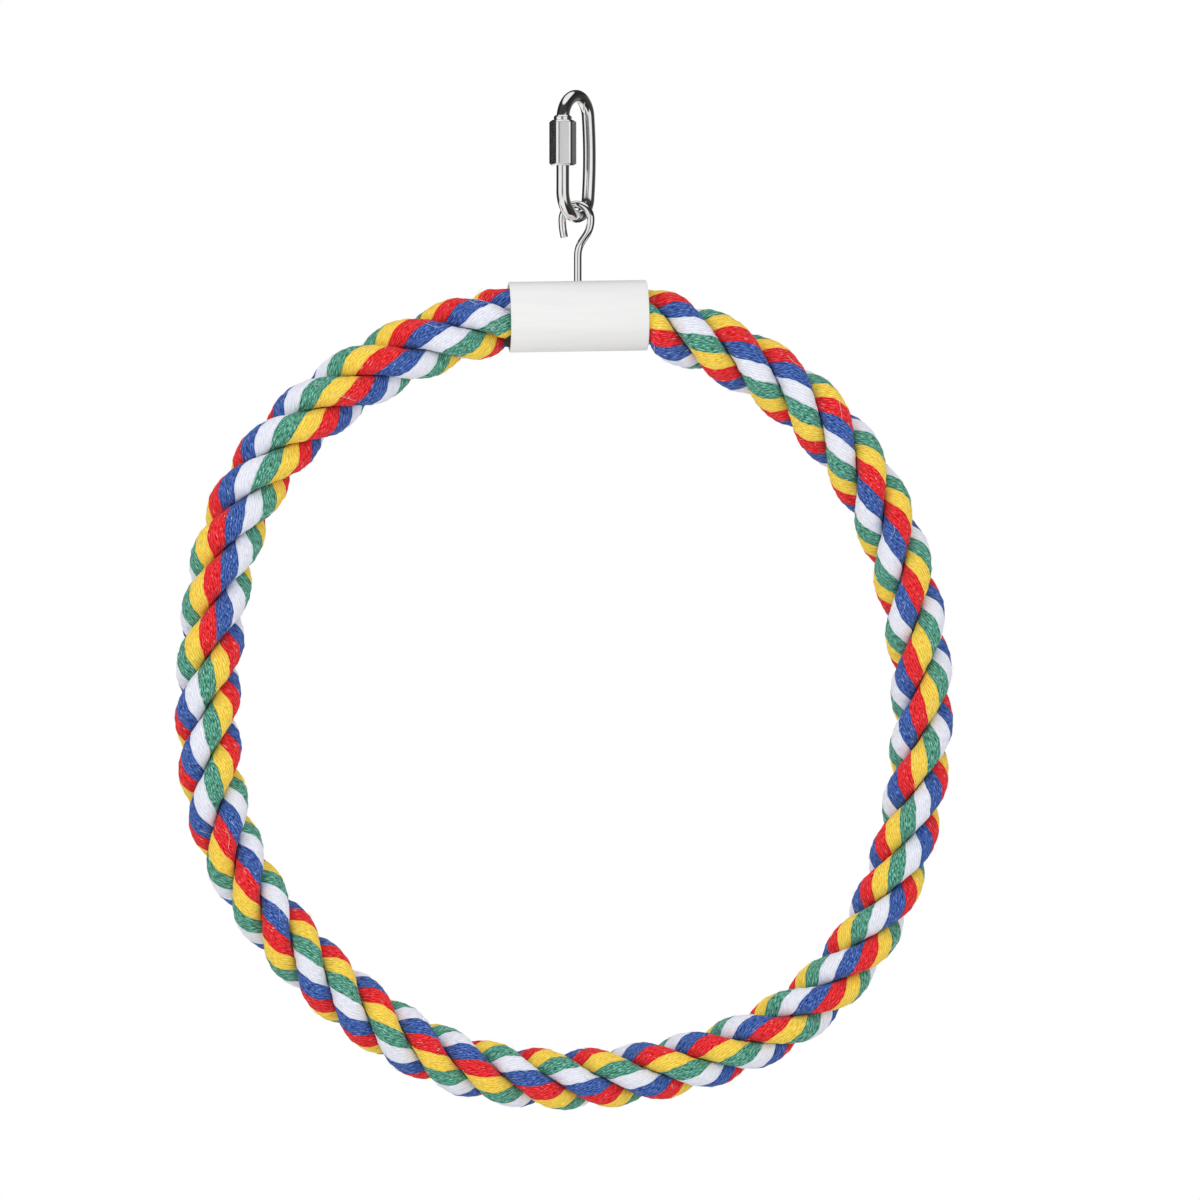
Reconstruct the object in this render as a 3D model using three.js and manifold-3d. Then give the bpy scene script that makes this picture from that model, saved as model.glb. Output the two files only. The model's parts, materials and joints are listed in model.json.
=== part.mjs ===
// A hanging climbing ring for a parrot: a quick link, a wire hook that swings in it, and a ring of
// three-strand cotton rope on a wire core, whose ends meet in a white plastic sleeve.
// Millimetres, +Z up. The ring lies in the XZ plane and is seen from -Y.
// The origin is where the link hangs on a cage bar: inside its upper bow.

import * as THREE from "three";
import { mergeVertices } from "three/addons/utils/BufferGeometryUtils.js";
import Module from "manifold-3d";

const wasm = await Module();
wasm.setup();

// Quick link
const LINK_ROD = 4;
const LINK_INSIDE_LENGTH = 33;
const LINK_INSIDE_WIDTH = 11;
const LINK_OPENING = 5;
const LINK_TURN = 51.6;
const LINK_SIDES = 10;
const LINK_STEPS = 48;

// Nut of the quick link
const NUT_LENGTH = 14;
const NUT_CLEARANCE = 0.2;
const NUT_COLLAR_WALL = 0.6;
const NUT_COLLAR_LENGTH = 1.5;
const NUT_COLLAR_CHAMFER = 0.35;
const NUT_SHOULDER = 0.85;
const NUT_CHAMFER = 0.6;
const NUT_GRIP = 2.5;
const NUT_TURN = 0.6;

// Wire hook
const HOOK_WIRE = 2.4;
const HOOK_PLAY = 1.35;
const HOOK_SEAT_GAP = 0.5;
const HOOK_SHANK_OFFSET = 0.4;
const HOOK_TURN = -19.4;
const HOOK_REACH = 22.3;
const HOOK_BEND_LENGTH = 11.5;
const HOOK_TIP_DROP = 5.6;
const HOOK_TIP_CURL = 0.7;
const HOOK_SIDES = 10;
const HOOK_STEPS = 44;
const HEAD_DIAMETER = 4.8;
const HEAD_THICKNESS = 1.2;

// Washer under the sleeve's top wall, round the hook's shank
const WASHER_DIAMETER = 7;
const WASHER_THICKNESS = 0.8;
const SHANK_CLEARANCE = 0.3;
const WASHER_GAP = 0.1;

// Rope: strands laid round a wire core
const STRAND_COUNT = 3;
const STRAND_DIAMETER = 8.9;
const STRAND_GAP = 0.35;
const LAY_LENGTH = 50;
const LAY_START = 53.3;
const LAY_DRIFT = 61.6;
const LAY_DRIFT_START = 71.3;
const LOOSE_ENDS = 0.045;
const CORE_WIRE = 2.2;
const CORE_CLEARANCE = 0.4;
const CORE_END_GAP = 0.6;
const STRAND_SIDES = 8;
const STEPS_PER_LAY = 13;
const CORE_SIDES = 8;
const CORE_STEPS = 90;

// Ring: mean radius of the rope's middle, and how far it is bent out of round
const RING_RADIUS = 115.3;
const RING_SHIFT = -3.1;
const RING_LIFT = 0.75;
const RING_BENDS = [
  { lobes: 2, swell: 3.85, at: -79 },
  { lobes: 3, swell: 0.96, at: -56 },
  { lobes: 4, swell: 1.35, at: -44 },
  { lobes: 6, swell: 0.6, at: 19 },
  { lobes: 7, swell: 0.5, at: -4 },
];

// Sleeve and what is in it
const SLEEVE_LENGTH = 42.5;
const SLEEVE_WALL = 1.1;
const ROPE_SQUEEZE = 1.55;
const SWELL_LENGTH = 6;
const EASE_LENGTH = 19;
const MOUTH_CLEARANCE = 0.2;
const LAYER_GAP = 0.06;
const TAPE_THICKNESS = 0.25;
const TAPE_INSET = 7;
const GLUE_THICKNESS = 0.25;
const GLUE_INSET = 8;
const ROPE_END_CLEARANCE = 1.5;
const FERRULE_LENGTH = 9;
const FERRULE_WALL = 1.1;
const FERRULE_CLEARANCE = 0.12;
const ROUND_SIDES = 48;
const SMALL_ROUND_SIDES = 20;

const COLOURS = {
  steel: { color: 0xb9bbbd, roughness: 0.2, metalness: 1 },
  galvanised: { color: 0x9ea2a5, roughness: 0.45, metalness: 1 },
  plastic: { color: 0xf0f0ee, roughness: 0.4, metalness: 0 },
  redCotton: { color: 0xc8252b, roughness: 0.95, metalness: 0 },
  yellowCotton: { color: 0xf0c23a, roughness: 0.95, metalness: 0 },
  blueCotton: { color: 0x3a5296, roughness: 0.95, metalness: 0 },
  tape: { color: 0x26272a, roughness: 0.7, metalness: 0 },
  glue: { color: 0xd9d2bd, roughness: 0.5, metalness: 0 },
};

const radians = THREE.MathUtils.degToRad;

// Solids and geometries

function toSolid(geometry) {
  const bare = geometry.clone();
  bare.deleteAttribute("normal");
  bare.deleteAttribute("uv");
  const merged = mergeVertices(bare);
  return new wasm.Manifold(new wasm.Mesh({
    numProp: 3,
    vertProperties: new Float32Array(merged.attributes.position.array),
    triVerts: new Uint32Array(merged.index.array),
  }));
}

function toGeometry(solid) {
  const { vertProperties, triVerts } = solid.getMesh();
  const geometry = new THREE.BufferGeometry();
  geometry.setAttribute("position", new THREE.BufferAttribute(vertProperties, 3));
  geometry.setIndex(new THREE.BufferAttribute(triVerts, 1));
  geometry.computeVertexNormals();
  return geometry;
}

function namedMesh(name, geometry, colour) {
  const mesh = new THREE.Mesh(geometry, new THREE.MeshStandardMaterial(COLOURS[colour]));
  mesh.name = name;
  return mesh;
}

// A round tube or, with no bore, a disc, standing on Z with its lower face at z = 0
function roundPiece(bore, outer, length, sides) {
  const profile = [
    new THREE.Vector2(bore, 0),
    new THREE.Vector2(outer, 0),
    new THREE.Vector2(outer, length),
    new THREE.Vector2(bore, length),
  ];
  if (bore > 0) profile.push(profile[0].clone());
  return new THREE.LatheGeometry(profile, sides).rotateX(Math.PI / 2);
}

// The same tube lying along X, from x = start
function lyingTube(bore, outer, start, length, sides) {
  return roundPiece(bore, outer, length, sides).rotateY(Math.PI / 2).translate(start, 0, 0);
}

// A flat outline in the XZ plane as a curve in space
class UprightCurve extends THREE.Curve {
  constructor(outline) {
    super();
    this.outline = outline;
  }

  getPoint(t) {
    const point = this.outline.getPoint(t);
    return new THREE.Vector3(point.x, 0, point.y);
  }
}

function bentRod(curve, diameter, sides, steps) {
  const section = new THREE.Shape();
  for (let i = 0; i < sides; i += 1) {
    const angle = (2 * Math.PI * i) / sides;
    const x = (diameter / 2) * Math.cos(angle);
    const y = (diameter / 2) * Math.sin(angle);
    if (i === 0) section.moveTo(x, y);
    else section.lineTo(x, y);
  }
  return new THREE.ExtrudeGeometry(section, { steps, bevelEnabled: false, extrudePath: curve });
}

// Quick link: its rod makes a long oval with a gap in one leg, and the nut covers the gap

const linkBow = (LINK_INSIDE_WIDTH + LINK_ROD) / 2;
const upperBowZ = -LINK_INSIDE_WIDTH / 2;
const lowerBowZ = LINK_INSIDE_WIDTH / 2 - LINK_INSIDE_LENGTH;
const nutTopZ = upperBowZ + NUT_COLLAR_LENGTH - NUT_CLEARANCE;
const upperEndZ = nutTopZ - NUT_GRIP;
const lowerEndZ = upperEndZ - LINK_OPENING;

function linkBody() {
  const outline = new THREE.Path();
  outline.moveTo(-linkBow, upperEndZ);
  outline.lineTo(-linkBow, upperBowZ);
  outline.absarc(0, upperBowZ, linkBow, Math.PI, 0, true);
  outline.lineTo(linkBow, lowerBowZ);
  outline.absarc(0, lowerBowZ, linkBow, 0, -Math.PI, true);
  outline.lineTo(-linkBow, lowerEndZ);
  return bentRod(new UprightCurve(outline), LINK_ROD, LINK_SIDES, LINK_STEPS);
}

function linkNut() {
  const bore = LINK_ROD / 2 + NUT_CLEARANCE;
  const collar = bore + NUT_COLLAR_WALL;
  const corner = (collar + NUT_SHOULDER) / Math.cos(Math.PI / 6);
  const hexagon = new THREE.Shape();
  for (let i = 0; i < 6; i += 1) {
    const angle = (Math.PI * i) / 3;
    if (i === 0) hexagon.moveTo(corner, 0);
    else hexagon.lineTo(corner * Math.cos(angle), corner * Math.sin(angle));
  }
  const prism = new THREE.ExtrudeGeometry(hexagon, { depth: NUT_LENGTH, bevelEnabled: false });
  const chamfered = new THREE.LatheGeometry([
    new THREE.Vector2(0, 0),
    new THREE.Vector2(corner - NUT_CHAMFER, 0),
    new THREE.Vector2(corner, NUT_CHAMFER),
    new THREE.Vector2(corner, NUT_LENGTH - NUT_CHAMFER),
    new THREE.Vector2(corner - NUT_CHAMFER, NUT_LENGTH),
    new THREE.Vector2(0, NUT_LENGTH),
  ], SMALL_ROUND_SIDES).rotateX(Math.PI / 2);
  const wholeLength = NUT_LENGTH + NUT_COLLAR_LENGTH;
  const upperCollar = new THREE.LatheGeometry([
    new THREE.Vector2(0, NUT_LENGTH / 2),
    new THREE.Vector2(collar, NUT_LENGTH / 2),
    new THREE.Vector2(collar, wholeLength - NUT_COLLAR_CHAMFER),
    new THREE.Vector2(collar - NUT_COLLAR_CHAMFER, wholeLength),
    new THREE.Vector2(0, wholeLength),
  ], SMALL_ROUND_SIDES).rotateX(Math.PI / 2);
  const drill = roundPiece(0, bore, 2 * wholeLength, SMALL_ROUND_SIDES);
  const solid = toSolid(prism)
    .intersect(toSolid(chamfered))
    .add(toSolid(upperCollar))
    .subtract(toSolid(drill.translate(0, 0, -wholeLength / 2)));
  return toGeometry(solid);
}

function quickLink() {
  const link = new THREE.Group();
  link.rotation.z = radians(LINK_TURN);
  link.add(namedMesh("quick_link_body", linkBody(), "steel"));
  const nut = namedMesh("quick_link_nut", linkNut(), "steel");
  nut.position.set(-linkBow, 0, nutTopZ - NUT_COLLAR_LENGTH - NUT_LENGTH);
  nut.rotation.z = radians(NUT_TURN - LINK_TURN);
  link.add(nut);
  return link;
}

// Rope: the strands wind round the core at the least radius where they clear each other

const mouth = SLEEVE_LENGTH / 2;
const tapeEnd = mouth - TAPE_INSET;
const ropeEnd = Math.max(FERRULE_LENGTH, WASHER_DIAMETER) / 2 + ROPE_END_CLEARANCE;

// The ring's middle line, clockwise from the middle of the sleeve: straight between the tapes
class RingLine extends THREE.Curve {
  constructor() {
    super();
    this.arcLengthDivisions = 2400;
    this.topRadius = this.radiusAt(Math.PI / 2);
    this.startAngle = Math.acos(-RING_SHIFT / this.topRadius);
  }

  radiusAt(angle) {
    const swells = RING_BENDS.map(({ lobes, swell, at }) => swell * Math.cos(lobes * (angle - radians(at))));
    return swells.reduce((sum, swell) => sum + swell, RING_RADIUS);
  }

  getPoint(t) {
    const angle = this.startAngle - 2 * Math.PI * t;
    const radius = this.radiusAt(angle);
    const x = RING_SHIFT + radius * Math.cos(angle);
    const z = radius * Math.sin(angle) - this.topRadius + RING_LIFT;
    if (z < -this.topRadius) return new THREE.Vector3(x, 0, z);
    const bent = THREE.MathUtils.smoothstep(Math.abs(x), tapeEnd, tapeEnd + EASE_LENGTH);
    return new THREE.Vector3(x, 0, z * bent);
  }

  atDistance(distance) {
    return this.getPointAt(distance / this.getLength());
  }
}

const ringLine = new RingLine();
const ringLength = ringLine.getLength();
const strandRadius = STRAND_DIAMETER / 2;
const layTurns = ringLength / LAY_LENGTH;

// Least distance between the middles of two neighbouring strands of a rope
function strandSpacing(helixRadius, lay) {
  let least = Infinity;
  for (let along = 0; along < lay / STRAND_COUNT; along += lay / 200) {
    const angle = 2 * Math.PI * (1 / STRAND_COUNT - along / lay);
    least = Math.min(least, Math.hypot(2 * helixRadius * Math.sin(angle / 2), along));
  }
  return least;
}

function laidRadius() {
  const tightest = (ringLength / (layTurns + radians(LAY_DRIFT))) * (1 - STRAND_DIAMETER / RING_RADIUS);
  let radius = CORE_WIRE / 2 + CORE_CLEARANCE + strandRadius;
  while (strandSpacing(radius, tightest) < STRAND_DIAMETER + STRAND_GAP) radius += 0.01;
  return radius;
}

const helixRadius = laidRadius();
const ropeRadius = helixRadius + strandRadius;
const squeezedRadius = ropeRadius - ROPE_SQUEEZE;
const tapeBore = squeezedRadius + LAYER_GAP;
const tapeRadius = tapeBore + TAPE_THICKNESS;
const glueBore = tapeRadius + LAYER_GAP;
const glueRadius = glueBore + GLUE_THICKNESS;
const sleeveBore = glueRadius + LAYER_GAP;
const boreFlatRadius = sleeveBore * Math.cos(Math.PI / ROUND_SIDES);
const sleeveRadius = sleeveBore + SLEEVE_WALL;

// The rope sinks towards the lower wall as it leaves the sleeve, so it fills what is left of the mouth
const mouthSink = Math.max(-ringLine.atDistance(mouth).z, -ringLine.atDistance(ringLength - mouth).z);
const mouthRadius = boreFlatRadius - mouthSink - MOUTH_CLEARANCE;
const swellStart = mouth + LAY_LENGTH / STEPS_PER_LAY / 2;

// Share of its usual size that the rope has at a distance along the ring: it is squeezed in the sleeve,
// and outside it is laid more loosely towards its ends than opposite the sleeve
function ropeFullness(distance) {
  const fromSleeve = Math.min(distance, ringLength - distance);
  const inSleeve = THREE.MathUtils.smoothstep(fromSleeve, tapeEnd, mouth);
  const outside = THREE.MathUtils.smoothstep(fromSleeve, swellStart, swellStart + SWELL_LENGTH);
  const squeezed = THREE.MathUtils.lerp(squeezedRadius, mouthRadius, inSleeve) / ropeRadius;
  const laid = 1 + LOOSE_ENDS * Math.cos((2 * Math.PI * distance) / ringLength);
  return THREE.MathUtils.lerp(squeezed, laid, outside);
}

// Where a strand's middle is, and the way out from the rope's middle there
function strandAt(distance, strand) {
  const u = distance / ringLength;
  const middle = ringLine.getPointAt(u);
  const along = ringLine.getTangentAt(u);
  const outward = new THREE.Vector3(-along.z, 0, along.x);
  const drift = radians(LAY_DRIFT) * Math.cos(2 * Math.PI * u + radians(LAY_DRIFT_START));
  const turn = radians(LAY_START) + 2 * Math.PI * (layTurns * u + strand / STRAND_COUNT) + drift;
  const radial = outward.multiplyScalar(Math.cos(turn)).add(new THREE.Vector3(0, -Math.sin(turn), 0));
  const fullness = ropeFullness(distance);
  const point = middle.addScaledVector(radial, helixRadius * fullness);
  return { point, radial, radius: strandRadius * fullness };
}

function ropeStrand(strand) {
  const length = ringLength - 2 * ropeEnd;
  const steps = Math.round((length / LAY_LENGTH) * STEPS_PER_LAY);
  const nudge = length / steps / 20;
  const positions = [];
  const triangles = [];
  for (let i = 0; i <= steps; i += 1) {
    const distance = ropeEnd + (length * i) / steps;
    const { point, radial, radius } = strandAt(distance, strand);
    const ahead = strandAt(distance + nudge, strand).point;
    const along = ahead.sub(strandAt(distance - nudge, strand).point).normalize();
    const across = new THREE.Vector3().crossVectors(along, radial).normalize();
    const out = new THREE.Vector3().crossVectors(across, along);
    for (let k = 0; k < STRAND_SIDES; k += 1) {
      const angle = (2 * Math.PI * k) / STRAND_SIDES;
      const corner = point.clone().addScaledVector(out, radius * Math.cos(angle));
      positions.push(...corner.addScaledVector(across, radius * Math.sin(angle)).toArray());
    }
  }
  const ringAt = (i, k) => i * STRAND_SIDES + (k % STRAND_SIDES);
  for (let i = 0; i < steps; i += 1) {
    for (let k = 0; k < STRAND_SIDES; k += 1) {
      triangles.push(ringAt(i, k), ringAt(i, k + 1), ringAt(i + 1, k + 1));
      triangles.push(ringAt(i, k), ringAt(i + 1, k + 1), ringAt(i + 1, k));
    }
  }
  for (let k = 1; k < STRAND_SIDES - 1; k += 1) {
    triangles.push(ringAt(0, 0), ringAt(0, k + 1), ringAt(0, k));
    triangles.push(ringAt(steps, 0), ringAt(steps, k), ringAt(steps, k + 1));
  }
  const geometry = new THREE.BufferGeometry();
  geometry.setAttribute("position", new THREE.Float32BufferAttribute(positions, 3));
  geometry.setIndex(triangles);
  geometry.computeVertexNormals();
  return geometry;
}

// The core wire goes round once, and its two ends meet in the ferrule
class CoreLine extends THREE.Curve {
  getPoint(t) {
    const gap = CORE_END_GAP / ringLength / 2;
    return ringLine.getPointAt(gap + t * (1 - 2 * gap));
  }
}

function rope() {
  const group = new THREE.Group();
  const colours = ["redCotton", "yellowCotton", "blueCotton"];
  for (let strand = 0; strand < STRAND_COUNT; strand += 1) {
    group.add(namedMesh(`rope_strand_${strand + 1}`, ropeStrand(strand), colours[strand % colours.length]));
  }
  group.add(namedMesh("core_wire", bentRod(new CoreLine(), CORE_WIRE, CORE_SIDES, CORE_STEPS), "galvanised"));
  return group;
}

// Sleeve, with the layers that hold the rope's two ends in it

const shankHole = HOOK_WIRE / 2 + SHANK_CLEARANCE;

function sleeveTube() {
  const tube = lyingTube(sleeveBore, sleeveRadius, -mouth, SLEEVE_LENGTH, ROUND_SIDES);
  const drill = roundPiece(0, shankHole, 2 * sleeveRadius, SMALL_ROUND_SIDES);
  return toGeometry(toSolid(tube).subtract(toSolid(drill)));
}

function sleeveAndFilling() {
  const group = new THREE.Group();
  group.add(namedMesh("joining_sleeve", sleeveTube(), "plastic"));
  const tapeLength = tapeEnd - ropeEnd;
  const glueLength = mouth - GLUE_INSET - ropeEnd;
  const tape = (start) => lyingTube(tapeBore, tapeRadius, start, tapeLength, ROUND_SIDES);
  const glue = (start) => lyingTube(glueBore, glueRadius, start, glueLength, ROUND_SIDES);
  group.add(namedMesh("end_tape_left", tape(-tapeEnd), "tape"));
  group.add(namedMesh("end_tape_right", tape(ropeEnd), "tape"));
  group.add(namedMesh("glue_band_left", glue(-ropeEnd - glueLength), "glue"));
  group.add(namedMesh("glue_band_right", glue(ropeEnd), "glue"));
  const ferruleBore = CORE_WIRE / 2 + FERRULE_CLEARANCE;
  const ferrule = lyingTube(
    ferruleBore,
    ferruleBore + FERRULE_WALL,
    -FERRULE_LENGTH / 2,
    FERRULE_LENGTH,
    SMALL_ROUND_SIDES,
  );
  group.add(namedMesh("core_ferrule", ferrule, "galvanised"));
  return group;
}

// Hook: its crown hangs on the link's lower bow, and its headed shank holds the sleeve by the washer

const crownUndersideZ = HOOK_SEAT_GAP - LINK_INSIDE_LENGTH;
const crownZ = crownUndersideZ + HOOK_WIRE / 2;
const sleeveAxisZ = crownUndersideZ - HOOK_REACH - sleeveRadius;
const washerSeat = Math.sqrt(boreFlatRadius ** 2 - (WASHER_DIAMETER / 2) ** 2);
const washerTopZ = sleeveAxisZ + washerSeat - WASHER_GAP;
const headTopZ = washerTopZ - WASHER_THICKNESS - WASHER_GAP;

function swingHook() {
  const loopRadius = LINK_ROD / 2 + HOOK_PLAY + HOOK_WIRE / 2;
  const loopZ = crownZ - loopRadius;
  const left = -HOOK_SHANK_OFFSET - loopRadius;
  const right = -HOOK_SHANK_OFFSET + loopRadius;
  const tipZ = loopZ - HOOK_TIP_DROP;
  const shankTopZ = loopZ - HOOK_BEND_LENGTH;
  const bendMiddleZ = (loopZ + shankTopZ) / 2;
  const outline = new THREE.Path();
  outline.moveTo(left + HOOK_TIP_CURL, tipZ);
  outline.quadraticCurveTo(left, (tipZ + loopZ) / 2, left, loopZ);
  outline.absarc(-HOOK_SHANK_OFFSET, loopZ, loopRadius, Math.PI, 0, true);
  outline.bezierCurveTo(right, bendMiddleZ, 0, bendMiddleZ, 0, shankTopZ);
  outline.lineTo(0, headTopZ - HEAD_THICKNESS / 2);
  const wire = bentRod(new UprightCurve(outline), HOOK_WIRE, HOOK_SIDES, HOOK_STEPS);
  const head = roundPiece(0, HEAD_DIAMETER / 2, HEAD_THICKNESS, SMALL_ROUND_SIDES);
  head.translate(0, 0, headTopZ - HEAD_THICKNESS);
  return toGeometry(toSolid(wire).add(toSolid(head)));
}

function hookAndWasher() {
  const group = new THREE.Group();
  group.position.x = HOOK_SHANK_OFFSET;
  group.rotation.z = radians(HOOK_TURN);
  group.add(namedMesh("swing_hook", swingHook(), "steel"));
  const washerGeometry = roundPiece(shankHole, WASHER_DIAMETER / 2, WASHER_THICKNESS, SMALL_ROUND_SIDES);
  const washer = namedMesh("hook_washer", washerGeometry, "galvanised");
  washer.position.z = washerTopZ - WASHER_THICKNESS;
  group.add(washer);
  return group;
}

const climbingRing = new THREE.Group();
const hangingRing = new THREE.Group();
hangingRing.position.set(HOOK_SHANK_OFFSET, 0, sleeveAxisZ);
hangingRing.add(rope(), sleeveAndFilling());
climbingRing.add(quickLink(), hookAndWasher(), hangingRing);

export default climbingRing;
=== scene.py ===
# %% [markdown]
# # A rope climbing ring for a parrot
#
# The real toy is a ring of striped cotton rope. Its two ends meet in a white plastic sleeve, a bent wire
# hook comes out of the sleeve's top, and a small screw-lock link of steel rod hangs the hook on a cage bar.
# A packed mechanical model already has every piece at its place, in metres.

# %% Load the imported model
import json
import math

import bmesh
import bpy
import numpy as np
from mathutils import Matrix, Vector

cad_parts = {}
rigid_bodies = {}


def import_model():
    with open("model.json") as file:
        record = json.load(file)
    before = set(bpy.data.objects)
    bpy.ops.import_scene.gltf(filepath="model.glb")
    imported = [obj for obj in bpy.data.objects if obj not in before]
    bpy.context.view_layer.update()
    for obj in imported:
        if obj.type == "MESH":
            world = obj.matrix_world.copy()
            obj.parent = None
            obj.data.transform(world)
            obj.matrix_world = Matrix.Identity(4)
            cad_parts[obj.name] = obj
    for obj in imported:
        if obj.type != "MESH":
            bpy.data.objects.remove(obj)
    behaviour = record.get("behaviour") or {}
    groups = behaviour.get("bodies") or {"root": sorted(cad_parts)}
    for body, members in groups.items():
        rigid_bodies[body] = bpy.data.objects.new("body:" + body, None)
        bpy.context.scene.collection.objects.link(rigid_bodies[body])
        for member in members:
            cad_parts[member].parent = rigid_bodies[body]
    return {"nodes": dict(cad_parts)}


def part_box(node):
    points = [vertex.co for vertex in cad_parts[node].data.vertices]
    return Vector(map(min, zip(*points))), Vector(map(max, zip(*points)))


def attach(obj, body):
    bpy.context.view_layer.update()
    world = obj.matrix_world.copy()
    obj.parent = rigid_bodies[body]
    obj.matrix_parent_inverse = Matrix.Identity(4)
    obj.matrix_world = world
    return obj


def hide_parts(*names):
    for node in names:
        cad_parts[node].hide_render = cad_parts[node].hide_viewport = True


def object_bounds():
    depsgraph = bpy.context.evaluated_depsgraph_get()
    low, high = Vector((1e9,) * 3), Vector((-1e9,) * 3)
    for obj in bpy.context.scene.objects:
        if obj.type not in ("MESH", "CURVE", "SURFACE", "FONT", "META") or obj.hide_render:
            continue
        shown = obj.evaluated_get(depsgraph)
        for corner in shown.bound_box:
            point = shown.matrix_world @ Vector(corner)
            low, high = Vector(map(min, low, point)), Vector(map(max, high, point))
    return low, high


for leftover in list(bpy.data.objects):
    bpy.data.objects.remove(leftover, do_unlink=True)

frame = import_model()
cad_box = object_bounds()
MM = 0.001
print("model box in mm:", [[round(value / MM, 1) for value in corner] for corner in cad_box])

# %% [markdown]
# ## Camera
#
# The picture to match was taken level, from a little to the left of the sleeve's front, with a long lens.
# In it 3.25 pixels are one millimetre, and the model's origin lies at one known pixel. From these the
# camera's distance and aim follow, so it isn't placed by eye.

# %% Place the camera
PICTURE_SIDE = 1200
PIXELS_PER_MM = 3.25
ORIGIN_PIXEL = (576.5, 102.8)
CAMERA_AZIMUTH = math.radians(-4.4)
LENS = 250
SENSOR = 36

picture_right = Vector((math.cos(CAMERA_AZIMUTH), math.sin(CAMERA_AZIMUTH), 0))
to_camera = Vector((math.sin(CAMERA_AZIMUTH), -math.cos(CAMERA_AZIMUTH), 0))
upwards = Vector((0, 0, 1))
pixel = MM / PIXELS_PER_MM
aim = picture_right * (PICTURE_SIDE / 2 - ORIGIN_PIXEL[0]) * pixel
aim -= upwards * (PICTURE_SIDE / 2 - ORIGIN_PIXEL[1]) * pixel
camera_distance = PICTURE_SIDE * pixel * LENS / SENSOR

camera_data = bpy.data.cameras.new("camera")
camera_data.lens = LENS
camera_data.sensor_width = SENSOR
camera = bpy.data.objects.new("camera", camera_data)
camera.location = aim + to_camera * camera_distance
camera.rotation_mode = "QUATERNION"
camera.rotation_quaternion = (-to_camera).to_track_quat("-Z", "Y")
bpy.context.scene.collection.objects.link(camera)
bpy.context.scene.camera = camera
bpy.context.scene.view_settings.view_transform = "Standard"
print("camera is", round(camera_distance, 3), "m away")

# %% [markdown]
# ## Helpers for nodes
#
# The world and every finish are trees of nodes. In the editor each node is dragged in and wired by hand. Here
# small helpers add a node, wire it and hand back its output, so that a tree reads like a sum.

# %% Add and wire nodes


def feed(tree, node, inputs):
    for name, value in inputs.items():
        if isinstance(value, bpy.types.NodeSocket):
            tree.links.new(value, node.inputs[name])
        else:
            node.inputs[name].default_value = value


def add_node(tree, kind, inputs=None, **settings):
    node = tree.nodes.new(kind)
    for name, value in settings.items():
        setattr(node, name, value)
    feed(tree, node, inputs or {})
    return node


def calculate(tree, operation, *values):
    return add_node(tree, "ShaderNodeMath", dict(enumerate(values)), operation=operation).outputs["Value"]


def facing(tree, direction, towards):
    inputs = {0: direction, 1: towards}
    return add_node(tree, "ShaderNodeVectorMath", inputs, operation="DOT_PRODUCT").outputs["Value"]


def map_range(tree, value, start, end, low=0, high=1, easing="LINEAR"):
    inputs = {"Value": value, "From Min": start, "From Max": end, "To Min": low, "To Max": high}
    return add_node(tree, "ShaderNodeMapRange", inputs, interpolation_type=easing).outputs["Result"]


def colour_ramp(tree, value, stops):
    node = add_node(tree, "ShaderNodeValToRGB", {"Fac": value})
    elements = node.color_ramp.elements
    while len(elements) < len(stops):
        elements.new(0.5)
    for element, (position, tint) in zip(elements, stops):
        element.position = position
        colour = tint if isinstance(tint, tuple) else (tint, tint, tint)
        element.color = (*colour, 1)
    return node.outputs["Color"]


def mix_colours(tree, share, first, second, blend="MIX"):
    inputs = {"Factor": share, "A": first, "B": second}
    return add_node(tree, "ShaderNodeMix", inputs, data_type="RGBA", blend_type=blend).outputs["Result"]


def mix_shaders(tree, share, first, second):
    return add_node(tree, "ShaderNodeMixShader", {"Fac": share, 1: first, 2: second}).outputs["Shader"]


def background(tree, colour, strength=1):
    inputs = {"Color": colour, "Strength": strength}
    return add_node(tree, "ShaderNodeBackground", inputs).outputs["Background"]


print("helpers for nodes are ready")

# %% [markdown]
# ## The room round the ring
#
# Polished rod has no colour of its own: it shows the room. A product photographer stands a steel piece in a
# dark room with large white boxes in front, left and right of the lens, and that gives the hard dark and
# white stripes. So the world is three things: plain white where the camera looks, this room where
# a glossy surface looks, and an even soft light for everything else. Each side wall is a grey ramp that runs
# from behind the ring, at 0, round to the lens, at 1. The other two ramps run from the floor, at 0, upwards.

# %% Make the world
SOFT_LIGHT = 0.85
LEFT_WALL = (
    (0.0, 1.0), (0.02, 1.0), (0.045, 0.0), (0.53, 0.01), (0.61, 1.0), (0.95, 1.0), (0.985, 0.2),
)
RIGHT_WALL = (
    (0.0, 1.0), (0.05, 1.0), (0.08, 0.16), (0.24, 0.16), (0.28, 0.02), (0.73, 0.04), (0.82, 1.0),
    (0.988, 1.0), (0.998, 0.2),
)
WALL_HEIGHTS = ((0.0, 0.8), (0.60, 1.0), (0.66, 0.03))
CEILING = ((0.90, 0.025), (0.93, 1.0))
WALL_SEAM = 0.1
WHITE = (1, 1, 1, 1)

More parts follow.
